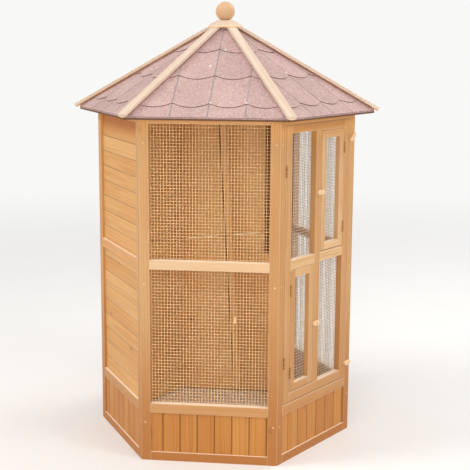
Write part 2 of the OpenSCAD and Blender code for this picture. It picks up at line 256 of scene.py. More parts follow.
pineLook = {"pale": (223, 179, 125), "warm": (202, 144, 83), "late": (184, 120, 60), "knot": (150, 92, 50),
            "bleach": (250, 232, 206), "honey": (204, 120, 26), "stain": (196, 138, 84), "stained": [],
            "wander": 0.012, "knotShare": 0.09, "ringPitch": 0.0062, "ringDepth": 0.42, "toneSpread": 0.6,
            "patchSpread": 0.35, "rough": 0.5, "gloss": 0.4, "damp": 0.1, "shelter": 0.0}
# the frame's painted eave hue is paler and warmer, painted light that lifts the eave's shade; the deeper hues of the
# door, rails and boards paint the eave's shade
frameLook = {"pale": (213, 169, 116), "warm": (193, 136, 77), "damp": 0.5, "shelter": 0.6, "honey": (238, 176, 100)}
pines = {  # what each finish changes in the plain look
    "framePine": frameLook,
    "postPine": {**frameLook, "late": (178, 112, 50), "damp": 0.95},
    "doorPine": {"pale": (228, 190, 144), "warm": (212, 164, 110), "late": (186, 126, 70), "damp": 1.0,
                 "shelter": 0.9, "honey": (208, 144, 70)},
    "railPine": {"pale": (227, 192, 150), "warm": (212, 147, 76), "late": (200, 142, 82), "toneSpread": 0.85,
                 "patchSpread": 0.15, "shelter": 0.7, "honey": (232, 164, 88)},
    "boardPine": {"pale": (228, 178, 112), "warm": (206, 143, 71), "knotShare": 0.13, "ringDepth": 0.4,
                  "shelter": 0.9},
    "liningPine": {"pale": (252, 200, 128), "warm": (240, 178, 104), "late": (218, 150, 80), "knotShare": 0.13,
                   "ringDepth": 0.3},
    "skirtPine": {"pale": (212, 148, 72), "warm": (184, 112, 42), "late": (160, 90, 30), "knotShare": 0.07,
                  "toneSpread": 0.4},
    "palePine": {"pale": (222, 203, 184), "warm": (209, 178, 145), "late": (195, 153, 111), "knotShare": 0.05,
                 "toneSpread": 0.4, "ringDepth": 0.35},
    "buttonPine": {"pale": (246, 216, 178), "warm": (234, 192, 144), "late": (214, 162, 108), "knotShare": 0.0,
                   "toneSpread": 0.4, "ringDepth": 0.35},
    # a warmer, paler copy for the sides of the battens and the cap: painted light that lifts their shade
    "footPine": {"pale": (250, 212, 166), "warm": (240, 194, 140), "late": (226, 170, 110), "knotShare": 0.05,
                 "toneSpread": 0.4},
    "ballPine": {"pale": (220, 184, 146), "warm": (207, 163, 119), "late": (191, 140, 94), "knotShare": 0.0,
                 "ringDepth": 0.3},
    # the perch: near-white pine as painted light on its lit lengths, with spans of painted shade where it lies in shade
    "perchPine": {"pale": (255, 230, 184), "warm": (252, 218, 164), "late": (236, 194, 138), "knotShare": 0.0,
                  "stained": [(-0.6, -0.10), (0.045, 0.115), (0.245, 0.6)]},
    "deckPine": {"pale": (214, 176, 128), "warm": (190, 146, 98), "knotShare": 0.4, "gloss": 0.2, "rough": 0.65},
}
(framePine, postPine, doorPine, railPine, boardPine, liningPine, skirtPine, palePine, buttonPine, footPine, ballPine,
 perchPine, deckPine) = [pineFinish(name, {**pineLook, **changes}) for name, changes in pines.items()]


# granulated bitumen: mineral grains on top, bare dark bitumen at the cut edges
def granuleFinish(name, look):
    material, r = newFinish(name)
    hues = coloursOf(look)
    place = r.objectPlace()
    edge, own = r.attribute("cutEdge"), r.attribute("tabTone")
    grains = r.node("ShaderNodeTexVoronoi", {"Vector": place, "Scale": 720.0})
    hue, shade, _ = r.parts(grains.sibling("Color"))
    cloud, mottle = r.noise(place, 7.0, 4.0), r.noise(place, 120.0, 2.0)
    colour = r.mixed(hue, hues["rose"], hues["brick"])
    colour = r.mixed(r.ranged(shade, 0.86, 0.88), colour, hues["stone"])
    colour = r.mixed(r.ranged(shade, 0.10, 0.08), colour, hues["coal"])
    colour = r.scaled(colour, 0.74 + cloud * 0.3 + mottle * 0.22 + own * 0.07)
    colour = r.mixed(edge * 0.92, colour, hues["bitumen"])
    closeFinish(r, {"Base Color": colour, "Roughness": 0.86 + shade * 0.1, "Specular IOR Level": 0.25},
                hue * (1 - edge) + mottle * 0.4, 0.45, 0.0008)
    return material


shingleLook = {"rose": (204, 173, 167), "brick": (180, 141, 133), "stone": (224, 211, 204), "coal": (128, 96, 91),
               "bitumen": (86, 64, 52)}
granules = {
    "shingleGrain": shingleLook,
    "eaveGrain": {**shingleLook, "bitumen": (98, 66, 36)},
    # grey grains for the backing seen in the slits, darker than the tabs: partly a backing layer, its grey painted
    # shade of the slits
    "slitGrain": {"rose": (172, 162, 160), "brick": (156, 146, 146), "stone": (194, 186, 184),
                  "coal": (130, 122, 122), "bitumen": (120, 112, 110)},
    # dark brown felt for behind the lining's gaps: its colour paints the shade seen through them
    "roofFelt": {"rose": (140, 82, 32), "brick": (116, 64, 22), "stone": (154, 96, 48), "coal": (94, 52, 17),
                 "bitumen": (102, 57, 22)},
}
shingleGrain, eaveGrain, slitGrain, roofFelt = [granuleFinish(name, look) for name, look in granules.items()]


# metals
def metalFinish(name, bright, dull, spangleScale, filmScale, rough, metal):
    material, r = newFinish(name)
    place = r.objectPlace()
    spangle = r.node("ShaderNodeTexVoronoi", {"Vector": place, "Scale": spangleScale})
    shade = r.parts(spangle.sibling("Color"))[0]
    film = r.noise(place, filmScale, 4.0)
    colour = r.mixed(r.ranged(film, 0.35, 0.7), rgb(*bright), rgb(*dull))
    colour = r.scaled(colour, 0.9 + shade * 0.2)
    closeFinish(r, {"Base Color": colour, "Roughness": rough + film * 0.2, "Metallic": metal}, film, 0.15, 0.0003)
    return material


metals = {  # bright and dull metal, scales of the spangle and the film, roughness, metal share
    # the wire of the front nets, staples and tie: its warm pale tan paints the warm light the wires catch; the other
    # nets take the greyer open wire
    "zincWire": ((255, 216, 162), (246, 200, 142), 260.0, 60.0, 0.45, 0.1),
    "openWire": ((222, 208, 188), (198, 184, 162), 260.0, 60.0, 0.45, 0.2),
    "hingeSteel": ((196, 146, 94), (150, 106, 64), 300.0, 140.0, 0.42, 0.35),
    "screwZinc": ((238, 214, 172), (206, 176, 132), 400.0, 180.0, 0.34, 0.45),
    "screwBrass": ((242, 206, 154), (214, 170, 116), 400.0, 180.0, 0.32, 0.3),
    "nailZinc": ((246, 244, 240), (222, 218, 210), 400.0, 180.0, 0.35, 0.2),
}
zincWire, openWire, hingeSteel, screwZinc, screwBrass, nailZinc = [
    metalFinish(name, *look) for name, look in metals.items()]
print("finishes made")


# meshes and pieces
def spin(side):  # turns the front to another side
    return Matrix.Rotation(math.radians(sideAngle * side), 4, "Z")


def sideTurn(side):  # a side's own frame: x along it, y inwards, z up
    return spin(side) @ Matrix.Translation((0, -apothem, 0))


def boxOf(points):
    return Vector(map(min, zip(*points))), Vector(map(max, zip(*points)))


def sideBox(node, side):
    back = sideTurn(side).inverted()
    return boxOf([back @ vertex.co for vertex in nodes[node].data.vertices])


frameThick = sideBox("front_upper_mesh", 0)[0].y


def addObject(name, data):
    made = bpy.data.objects.new(name, data)
    bpy.context.scene.collection.objects.link(made)
    return made


def addPiece(name, mesh, body, replaced=(), finish=None):
    if finish is not None:
        mesh.materials.clear()
        mesh.materials.append(finish)
    mesh.name = name
    piece = addObject(name, mesh)
    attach(piece, body)
    if replaced:
        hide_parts(*replaced)
    return piece


def plainMesh(name, points, faces=()):
    mesh = bpy.data.meshes.new(name)
    mesh.from_pydata(points, [], faces)
    return mesh


def pointMesh(places, label, vectors):  # points that carry one vector each
    mesh = plainMesh("points", places)
    layer = mesh.attributes.new(label, "FLOAT_VECTOR", "POINT")
    for index, vector in enumerate(vectors):
        layer.data[index].vector = vector
    return mesh


def openMesh(*meshes):
    work = bmesh.new()
    for mesh in meshes:
        work.from_mesh(mesh)
    return work


def closeMesh(work, mesh):
    work.to_mesh(mesh)
    work.free()
    return mesh


def joinMeshes(name, meshes):
    whole = closeMesh(openMesh(*meshes), bpy.data.meshes.new(name))
    for finish in meshes[0].materials:
        whole.materials.append(finish)
    return whole


def trimMesh(mesh, planes):  # cuts away what lies in front of each plane and closes the cuts
    work = openMesh(mesh)
    for point, normal in planes:
        geometry = work.verts[:] + work.edges[:] + work.faces[:]
        bmesh.ops.bisect_plane(work, geom=geometry, plane_co=point, plane_no=normal, clear_outer=True, dist=1e-7)
        rim = [edge for edge in work.edges if edge.is_boundary]
        bmesh.ops.holes_fill(work, edges=rim, sides=0)
    return closeMesh(work, mesh)


def prismMesh(name, lower, upper):  # a closed solid between two rings of points
    count = len(lower)
    walls = [(index, (index + 1) % count, count + (index + 1) % count, count + index) for index in range(count)]
    ends = [tuple(reversed(range(count))), tuple(range(count, 2 * count))]
    return plainMesh(name, [*lower, *upper], ends + walls)


def boxesMesh(boxes):
    parts = []
    for low, high in boxes:
        ring = [(low[0], low[1]), (high[0], low[1]), (high[0], high[1]), (low[0], high[1])]
        parts.append(prismMesh("box", [(x, y, low[2]) for x, y in ring], [(x, y, high[2]) for x, y in ring]))
    return joinMeshes("boxes", parts)


# geometry trees: each has its floats, its whole numbers and a finish as inputs
def startTree(name, floats, counts=()):
    tree = bpy.data.node_groups.new(name, "GeometryNodeTree")
    kinds = {"Geometry": "Geometry", **dict.fromkeys(floats, "Float"), **dict.fromkeys(counts, "Int"),
             "Finish": "Material"}
    for label, kind in kinds.items():
        tree.interface.new_socket(name=label, in_out="INPUT", socket_type="NodeSocket" + kind)
    tree.interface.new_socket(name="Geometry", in_out="OUTPUT", socket_type="NodeSocketGeometry")
    recipe = Recipe(tree)
    source = recipe.node("NodeGroupInput")
    return recipe, {label: source.sibling(label) for label in kinds}


def endTree(recipe, geometry, finish):
    real = recipe.node("GeometryNodeRealizeInstances", {"Geometry": geometry})
    recipe.node("NodeGroupOutput", {0: recipe.node("GeometryNodeSetMaterial", {"Geometry": real, "Material": finish})})
    return recipe.tree


def growMesh(tree, values, source=None):  # keys that the tree doesn't know are passed over
    carrier = addObject("carrier", source or bpy.data.meshes.new("seed"))
    modifier = carrier.modifiers.new("grow", "NODES")
    modifier.node_group = tree
    for item in tree.interface.items_tree:
        if item.in_out == "INPUT" and item.name in values:
            modifier[item.identifier] = values[item.name]
    graph = bpy.context.evaluated_depsgraph_get()
    evaluated = carrier.evaluated_get(graph)
    grown = bpy.data.meshes.new_from_object(evaluated, preserve_all_data_layers=True, depsgraph=graph)
    grown.materials.clear()
    grown.materials.append(values["Finish"])
    grown.polygons.foreach_set("material_index", [0] * len(grown.polygons))
    bpy.data.objects.remove(carrier)
    return grown


# a run of boards: each is z long, x wide and y thick, with eased edges
def makeBoardTree():
    r, size = startTree("boardRun", ["Length", "Pitch", "Joint", "Thickness", "Ease", "Back Ease", "Upper Edge",
                                     "Lower Edge", "Start"], ["Count", "Seed"])
    wide = size["Pitch"] - size["Joint"]
    outline = r.node("GeometryNodeCurvePrimitiveQuadrilateral", {"Width": wide, "Height": size["Thickness"]})
    front = r.parts(r.node("GeometryNodeInputPosition"))[1].maths("LESS_THAN", 0.0)
    ease = size["Back Ease"] + front * (size["Ease"] - size["Back Ease"])
    outline = r.node("GeometryNodeFilletCurve", {"Curve": outline, "Count": 2, "Radius": ease}, mode="POLY")
    path = r.node("GeometryNodeCurvePrimitiveLine", {"Start": (0, 0, 0), "End": r.joined(0.0, 0.0, size["Length"])})
    board = r.node("GeometryNodeCurveToMesh", {"Curve": path, "Profile Curve": outline, "Fill Caps": True})
    x, y, z = r.parts(r.node("GeometryNodeInputPosition"))
    board = r.stored(board, "grain", r.joined(z, x, y), "POINT", "FLOAT_VECTOR")
    sideways = r.parts(r.node("GeometryNodeInputNormal"))[0]
    upper, lower = sideways.maths("GREATER_THAN", 0.2), sideways.maths("LESS_THAN", -0.2)
    board = r.stored(board, "edgeTone", upper * size["Upper Edge"] + lower * size["Lower Edge"])
    line = r.row(size["Count"], r.joined(size["Start"], 0.0, 0.0), r.joined(size["Pitch"], 0.0, 0.0))
    run = r.node("GeometryNodeInstanceOnPoints", {"Points": line, "Instance": board})
    run = r.stored(run, "tone", r.drawn(0.0, 1.0, size["Seed"]), "INSTANCE")
    return endTree(r, run, size["Finish"])


# welded wire: uprights in front, cross wires laid on them, both a little uneven
def makeWireTree():
    r, size = startTree("weldedWire", ["Width", "Height", "Wire", "Step X", "Step Z", "Sway"], ["Columns", "Rows"])
    half = size["Wire"] * 0.5
    ring = r.node("GeometryNodeCurvePrimitiveCircle", {"Resolution": 6, "Radius": half})

    def wires(end, offset, count, start):
        line = r.node("GeometryNodeCurvePrimitiveLine", {"Start": (0, 0, 0), "End": end})
        line = r.node("GeometryNodeResampleCurve", {"Curve": line, "Count": 8})
        rod = r.node("GeometryNodeCurveToMesh", {"Curve": line, "Profile Curve": ring, "Fill Caps": True})
        return r.node("GeometryNodeInstanceOnPoints", {"Points": r.row(count, start, offset), "Instance": rod})

    uprights = wires(r.joined(0.0, 0.0, size["Height"]), r.joined(size["Step X"], 0.0, 0.0), size["Columns"],
                     r.joined(half - size["Width"] * 0.5, half, 0.0))
    across = wires(r.joined(size["Width"], 0.0, 0.0), r.joined(0.0, 0.0, size["Step Z"]), size["Rows"],
                   r.joined(size["Width"] * -0.5, size["Wire"] * 1.35, half))
    net = r.node("GeometryNodeJoinGeometry", {"Geometry": [uprights, across]})
    net = r.node("GeometryNodeRealizeInstances", {"Geometry": net})
    drift = r.centred(r.noise(r.node("GeometryNodeInputPosition"), 9.0, 1.0, "Color"))
    drift = r.stretched(drift, r.joined(size["Sway"], size["Sway"] * 0.6, size["Sway"]))
    net = r.node("GeometryNodeSetPosition", {"Geometry": net, "Offset": drift})
    return endTree(r, net, size["Finish"])


def extruded(r, mesh, height, **only):  # straight up, as one block
    values = {"Mesh": mesh, "Offset": (0, 0, 1), "Offset Scale": height, "Individual": False}
    return r.node("GeometryNodeExtrudeMesh", {**values, **only}, "Mesh", mode="FACES")


# shingle tabs in courses: x along the eave, y up the slope, z out of the roof
def makeShingleTree():
    r, size = startTree("shingleCourses", ["Tab", "Slit", "Length", "Scallop", "Thickness", "Exposure", "Start",
                                           "Tilt"], ["Columns", "Courses", "Seed"])
    wide = size["Tab"] - size["Slit"]
    flat = r.node("GeometryNodeMeshGrid", {"Size X": wide, "Size Y": size["Length"], "Vertices X": 9, "Vertices Y": 2})
    x, y, _ = r.parts(r.node("GeometryNodeInputPosition"))
    reach, lower = x / wide * 2.0, y.maths("LESS_THAN", 0.0)
    rise = size["Length"] * 0.5 + reach * reach * lower * size["Scallop"]
    curve = r.joined(0.0, rise, size["Thickness"] * -1.0)
    flat = r.node("GeometryNodeSetPosition", {"Geometry": flat, "Offset": curve})
    solid = extruded(r, flat, size["Thickness"])
    across = r.parts(r.node("GeometryNodeInputNormal"))[0].maths("ABSOLUTE")
    tab = r.stored(solid, "cutEdge", solid.sibling("Side") * r.ranged(across, 0.75, 0.95, 1.0, 0.1))
    under = r.stored(r.node("GeometryNodeFlipFaces", {"Mesh": flat}), "cutEdge", 1.0)
    tab = r.node("GeometryNodeJoinGeometry", {"Geometry": [tab, under]})
    tab = r.node("GeometryNodeMergeByDistance", {"Geometry": tab, "Distance": 0.00002})
    rows = r.row(size["Courses"], r.joined(0.0, size["Start"], 0.0), r.joined(0.0, size["Exposure"], 0.0))
    first = r.joined((size["Columns"] - 1.0) * size["Tab"] * -0.5, 0.0, 0.0)
    line = r.row(size["Columns"], first, r.joined(size["Tab"], 0.0, 0.0))
    places = r.node("GeometryNodeInstanceOnPoints", {"Points": rows, "Instance": line})
    places = r.node("GeometryNodeRealizeInstances", {"Geometry": places})
    lean = r.joined(size["Tilt"] * -1.0, 0.0, r.drawn(-0.004, 0.004, size["Seed"]))
    laid = r.node("GeometryNodeInstanceOnPoints", {"Points": places, "Instance": tab, "Rotation": lean})
    laid = r.stored(laid, "tabTone", r.drawn(-0.5, 0.5, size["Seed"] + 50.0), "INSTANCE")
    return endTree(r, laid, size["Finish"])


# a cross-head screw, set on points that carry the way it faces
def makeScrewTree():
    r, size = startTree("crossHead", ["Radius", "Rise", "Cross", "Lift"])
    head = r.node("GeometryNodeMeshCylinder", {"Vertices": 16, "Radius": size["Radius"], "Depth": size["Rise"]}, "Mesh")
    crown = extruded(r, head, size["Rise"] * 0.5, Selection=head.sibling("Top"))
    shape = r.node("GeometryNodeScaleElements", {"Geometry": crown, "Selection": crown.sibling("Top"), "Scale": 0.72})
    bars = []
    for across, along, level in ((0.24, 1.0, 1.1), (1.0, 0.24, 1.3)):
        bar = {"Size": r.joined(size["Cross"] * across, size["Cross"] * along, size["Rise"])}
        above = r.joined(0.0, 0.0, size["Rise"] * level + size["Lift"])
        bars.append(r.node("GeometryNodeTransform", {"Geometry": r.node("GeometryNodeMeshCube", bar),
                                                     "Translation": above}))
    shape = r.node("GeometryNodeMeshBoolean", {"Mesh 1": shape, "Mesh 2": bars}, operation="DIFFERENCE")
    facing = r.node("GeometryNodeInputNamedAttribute", {"Name": "facing"}, data_type="FLOAT_VECTOR")
    turn = r.node("FunctionNodeAlignRotationToVector", {"Vector": facing}, axis="Z")
    heads = {"Points": size["Geometry"], "Instance": shape, "Rotation": turn}
    return endTree(r, r.node("GeometryNodeInstanceOnPoints", heads), size["Finish"])


# a staple: a bent wire loop, half of it driven into the wood
def makeStapleTree():
    r, size = startTree("stapleRow", ["Crown", "Leg", "Wire"])
    loop = r.node("GeometryNodeCurvePrimitiveQuadrilateral", {"Width": size["Crown"], "Height": size["Leg"]})
    loop = r.node("GeometryNodeFilletCurve", {"Curve": loop, "Count": 3, "Radius": size["Wire"] * 1.2}, mode="POLY")
    ring = r.node("GeometryNodeCurvePrimitiveCircle", {"Resolution": 6, "Radius": size["Wire"] * 0.5})
    staple = r.node("GeometryNodeCurveToMesh", {"Curve": loop, "Profile Curve": ring, "Fill Caps": False})
    turn = r.node("GeometryNodeInputNamedAttribute", {"Name": "turn"}, data_type="FLOAT_VECTOR")
    row = {"Points": size["Geometry"], "Instance": staple, "Rotation": turn}
    return endTree(r, r.node("GeometryNodeInstanceOnPoints", row), size["Finish"])


boardTree, wireTree, shingleTree = makeBoardTree(), makeWireTree(), makeShingleTree()
screwTree, stapleTree = makeScrewTree(), makeStapleTree()
print("geometry trees made")


# planed timber: copies of the CAD members with eased arrises and their own grain
mergeReach = 1e-5
arris = {"sharp": math.radians(20), "flat": math.radians(1), "tone": 0.22, "ledgeSlope": 0.35}


def islandsOf(work):  # vertices, edges and faces of each loose part, in a steady order
    seen, found = set(), []
    for first in work.verts:
        if first in seen:
            continue
        seen.add(first)
        island = [first]
        for vertex in island:  # the list grows while it is read
            for edge in vertex.link_edges:
                other = edge.other_vert(vertex)
                if other not in seen:
                    seen.add(other)
                    island.append(other)
        edges = dict.fromkeys(edge for vertex in island for edge in vertex.link_edges)
        faces = dict.fromkeys(face for vertex in island for face in vertex.link_faces)
        found.append((island, list(edges), list(faces)))
    return found


def planedTimber(name, source, body, finish, ease, toneSeed, replaced=(), ledge=0.0):
    work = openMesh(source)
    bmesh.ops.remove_doubles(work, verts=work.verts[:], dist=mergeReach)
    bmesh.ops.dissolve_limit(work, angle_limit=arris["flat"], verts=work.verts[:], edges=work.edges[:])
    edgeLayer = work.faces.layers.float.new("edgeTone")
    grainLayer = work.verts.layers.float_vector.new("grain")
    toneLayer = work.verts.layers.float.new("tone")
    sharp = [edge for edge in work.edges if edge.calc_face_angle(0) > arris["sharp"]]
    if ease:
        eased = bmesh.ops.bevel(work, geom=sharp, offset=ease, segments=2, profile=0.6, affect="EDGES",
                                clamp_overlap=True)
        for face in eased["faces"]:
            face[edgeLayer] = arris["tone"]
    for face in work.faces:  # painted highlight: the top faces of rails are paler, as where light falls from above
        if ledge and face.normal.z > arris["ledgeSlope"]:
            face[edgeLayer] = ledge
    tones = random.Random(toneSeed)

    def rank(part):  # by the middle's height, then y, then x
        return tuple(round(sum(vertex.co[axis] for vertex in part[0]) / len(part[0]), 4) for axis in (2, 1, 0))

    for island, edges, faces in sorted(islandsOf(work), key=rank):
        longest = max(edges, key=lambda edge: round(edge.calc_length(), 5))
        along = (longest.verts[1].co - longest.verts[0].co).normalized()
        lead = max(range(3), key=lambda axis: abs(along[axis]))
        along = along if along[lead] > 0 else -along
        flats = [face for face in faces if abs(face.normal.dot(along)) < 0.5] or faces
        middle = sum((vertex.co for vertex in island), Vector()) / len(island)
        # the broadest face, and of two alike the outer one
        deep = max(flats, key=lambda face: (round(face.calc_area(), 7), round(face.normal.dot(middle), 3))).normal
        deep = (deep - along * deep.dot(along)).normalized()
        across = deep.cross(along)
        tone = tones.random()
        for vertex in island:
            offset = vertex.co - middle
            vertex[grainLayer] = Vector((offset.dot(along), offset.dot(across), offset.dot(deep)))
            vertex[toneLayer] = tone
    return addPiece(name, closeMesh(work, bpy.data.meshes.new(name)), body, replaced, finish)


timber = {  # slot, piece: node, finish, eased edge, tone draw
    "pine_frame": {
        "leftStiles": ("left_stiles", postPine, 0.0016, 21),
        "rightStiles": ("right_stiles", postPine, 0.0016, 56),
        "plinthRails": ("plinth_rails", postPine, 0.0016, 13),
        "lowerRails": ("lower_rails", framePine, 0.0024, 14),
        "midRails": ("mid_rails", railPine, 0.0024, 269),
        "topRails": ("top_rails", railPine, 0.0016, 108),
        "doorStiles": ("main_door_stiles", framePine, 0.0018, 17),
        "doorRails": ("main_door_rails", doorPine, 0.0024, 18),
        "doorMuntin": ("main_door_muntin", framePine, 0.0018, 19),
        "upperHatchStiles": ("upper_hatch_stiles", doorPine, 0.0018, 20),
        "upperHatchRails": ("upper_hatch_rails", doorPine, 0.0024, 21),
        "lowerHatchStiles": ("lower_hatch_stiles", framePine, 0.0018, 22),
        "lowerHatchRails": ("lower_hatch_rails", doorPine, 0.0024, 23),
        "doorTopButton": ("door_top_button", buttonPine, 0.002, 24),
        "doorBottomButton": ("door_bottom_button", buttonPine, 0.002, 25),
        "upperHatchButton": ("upper_hatch_button", buttonPine, 0.002, 26),
        "lowerHatchButton": ("lower_hatch_button", buttonPine, 0.002, 27),
    },
    "pale_pine": {
        "hipBattens": ("hip_battens", palePine, 0.003, 28),
        "roofCap": ("roof_cap", palePine, 0.003, 29),
        "ballFinial": ("ball_finial", ballPine, 0.0, 30),
        "perchDowel": ("perch", perchPine, 0.0, 31),
    },
}
# painted light: the ledge highlight on rail tops, and the depth and slope that split the battens and cap into painted
# tops and sides
paintedTopLight = {"ledge": 0.85, "battenDepth": 0.011, "topSlope": 0.6}
members = {}
for slot, rows in timber.items():
    for pieceName, (node, finish, ease, seed) in rows.items():
        ledge = paintedTopLight["ledge"] if "Rails" in pieceName else 0.0
        members[pieceName] = planedTimber(pieceName, nodes[node].data, bodyOf[node], finish, ease, seed, (node,),
                                          ledge)


def paintBattenSides(mesh):  # below a depth under its top each batten takes the painted side pine: pale top and warmer sides are painted light and shade
    mesh.materials.append(footPine)
    work = openMesh(mesh)
    for island, edges, faces in islandsOf(work):
        top = max(faces, key=lambda face: face.calc_area() * (face.normal.z > paintedTopLight["topSlope"]))
        up, level = top.normal.copy(), top.calc_center_median() - top.normal * paintedTopLight["battenDepth"]
        split = bmesh.ops.bisect_plane(work, geom=island + edges + faces, plane_co=level, plane_no=up)
        for part in split["geom"]:
            if isinstance(part, bmesh.types.BMFace):
                part.material_index = int((part.calc_center_median() - level).dot(up) < 0)
    closeMesh(work, mesh)


def paintCapSides(mesh):  # all but the cap's top take the painted side pine: painted light and shade of top and sides
    mesh.materials.append(footPine)
    for face in mesh.polygons:
        face.material_index = int(face.normal.z < paintedTopLight["topSlope"])


paintBattenSides(members["hipBattens"].data)
paintCapSides(members["roofCap"].data)
print("timber planed:", len(members))


# boarded walls and skirting; capital keys are the board tree's own inputs
# on the wall boards the upper edge gets a faint painted highlight and the lower edge strong painted shade; elsewhere
# both edges are dark joints
boarding = {"Pitch": 0.064, "Joint": 0.0002, "Thickness": boardThick, "Ease": 0.0022, "Back Ease": 0.0003,
            "Upper Edge": 0.08, "Lower Edge": -2.1, "firstBoard": 0.0586, "leastTop": 0.03, "seed": 5}
grooves = {"Upper Edge": -1.0, "Lower Edge": -1.0}  # both edges dark
skirting = {**grooves, "Pitch": 0.0695, "Joint": 0.0002, "Thickness": boardThick, "Ease": 0.0028, "Back Ease": 0.0003,
            "firstBoard": 0.049, "seed": 40}
alongSide = Matrix.Rotation(math.radians(-90), 4, "Y")  # a board's length to the side's x, its width to z
boardedSides = {"frontLeftBoards": ("front_left_boards", 5), "backLeftBoards": ("back_left_boards", 4),
                "backBoards": ("back_boards", 3)}


def boardField(low, high, seed):
    pitch = boarding["Pitch"]
    seams = [low + boarding["firstBoard"]]
    while high - seams[-1] - pitch > boarding["leastTop"]:
        seams.append(seams[-1] + pitch)
    run = {**boarding, "Length": innerWidth, "Count": len(seams), "Start": seams[0] - pitch / 2, "Seed": seed,
           "Finish": boardPine}
    topWidth = high - seams[-1]
    top = {**run, "Pitch": topWidth, "Count": 1, "Start": seams[-1] + topWidth / 2, "Seed": seed + 100}
    mesh = joinMeshes("field", [growMesh(boardTree, run), growMesh(boardTree, top)])
    mesh.transform(Matrix.Translation((innerWidth / 2, boardSetback + boardThick / 2, 0)) @ alongSide)
    return trimMesh(mesh, [((0, 0, low), (0, 0, -1)), ((0, 0, high), (0, 0, 1))])


for pieceName, (node, side) in boardedSides.items():
    seed = boarding["seed"] + side
    walls = joinMeshes(pieceName, [boardField(lowerTop, midLow, seed), boardField(midTop, upperTop, seed + 10)])
    walls.transform(sideTurn(side))
    addPiece(pieceName, walls, bodyOf[node], (node,))

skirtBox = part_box("skirting_boards")
skirtCount = math.ceil((innerWidth - skirting["firstBoard"]) / skirting["Pitch"]) + 1
skirtRuns = []
for side in range(sideCount):
    mesh = growMesh(boardTree, {**skirting, "Length": skirtBox[1].z - skirtBox[0].z, "Count": skirtCount,
                                "Start": skirting["firstBoard"] - skirting["Pitch"] / 2 - innerWidth / 2,
                                "Seed": skirting["seed"] + side, "Finish": skirtPine})
    mesh.transform(Matrix.Translation((0, apothem - skirtBox[1].y + boardThick / 2, skirtBox[0].z)))
    trimMesh(mesh, [((-innerWidth / 2, 0, 0), (-1, 0, 0)), ((innerWidth / 2, 0, 0), (1, 0, 0))])
    mesh.transform(sideTurn(side))
    skirtRuns.append(mesh)
skirtMesh = joinMeshes("skirtingBoards", skirtRuns)
addPiece("skirtingBoards", skirtMesh, bodyOf["skirting_boards"], ("skirting_boards",))
print("boards laid")


# welded mesh in every window, with staples at its edge
netting = {"wire": 0.002, "pitch": 0.0127, "sway": 0.0001}
staple = {"Crown": 0.010, "Leg": 0.009, "Wire": 0.0011, "pitch": 0.085, "inset": 0.005}
tie = {"Crown": 0.024, "Leg": 0.0075, "Wire": 0.0018, "x": 0.0987, "z": 0.586, "turns": 4}
windows = {  # piece: node, side
    "frontUpperNet": ("front_upper_mesh", 0), "frontLowerNet": ("front_lower_mesh", 0),
    "backRightUpperNet": ("back_right_upper_mesh", 2), "backRightLowerNet": ("back_right_lower_mesh", 2),
    "doorUpperNet": ("door_upper_mesh", 1), "doorLowerNet": ("door_lower_mesh", 1),
    "upperHatchNet": ("upper_hatch_mesh", 1), "lowerHatchNet": ("lower_hatch_mesh", 1),
}


def evenSpots(low, high):  # middles of equal lengths, one for each staple
    count = max(2, round((high - low) / staple["pitch"]))
    return [low + (share + 0.5) * (high - low) / count for share in range(count)]


def wireLoops(spots, look):  # closed loops of bent wire, each with its side, place and way up
    quarter = Matrix.Rotation(math.radians(90), 3, "Y")
    turns = []
    for side, _, upright in spots:  # a loop lies in the plane of its crown and the side's inward direction
        tip = Matrix.Identity(3) if upright else quarter
        turns.append((spin(side).to_3x3() @ tip @ quarter).to_euler())
    points = pointMesh([sideTurn(side) @ Vector(place) for side, place, _ in spots], "turn", turns)
    return growMesh(stapleTree, {**look, "Finish": zincWire}, points)


staplePoints = {}
for pieceName, (node, side) in windows.items():
    low, high = sideBox(node, side)
    width, height, wire = high.x - low.x, high.z - low.z, netting["wire"]
    columns, rows = round(width / netting["pitch"]) + 1, round(height / netting["pitch"]) + 1
    mesh = growMesh(wireTree, {"Width": width, "Height": height, "Wire": wire, "Columns": columns, "Rows": rows,
                               "Step X": (width - wire) / (columns - 1), "Step Z": (height - wire) / (rows - 1),
                               "Sway": netting["sway"], "Finish": openWire if side else zincWire})
    mesh.transform(sideTurn(side) @ Matrix.Translation(((low.x + high.x) / 2, low.y, low.z)))
    addPiece(pieceName, mesh, bodyOf[node], (node,))
    inset, y = staple["inset"], low.y + wire * 2.0
    spots = staplePoints.setdefault(bodyOf[node], [])
    spots += [(side, (x, y, z), False) for x in evenSpots(low.x, high.x) for z in (low.z + inset, high.z - inset)]
    spots += [(side, (x, y, z), True) for z in evenSpots(low.z, high.z) for x in (low.x + inset, high.x - inset)]
for body, spots in staplePoints.items():
    addPiece("staples." + body, wireLoops(spots, staple), body)

tieY = sideBox("front_lower_mesh", 0)[0].y + netting["wire"]  # a few turns of wire round one upright of the front net
tieSpots = [(0, (tie["x"] + (turn - (tie["turns"] - 1) / 2) * tie["Wire"], tieY, tie["z"]), True)
            for turn in range(tie["turns"])]
addPiece("netTie", wireLoops(tieSpots, tie), bodyOf["front_lower_mesh"])
print("nets stretched:", len(windows))


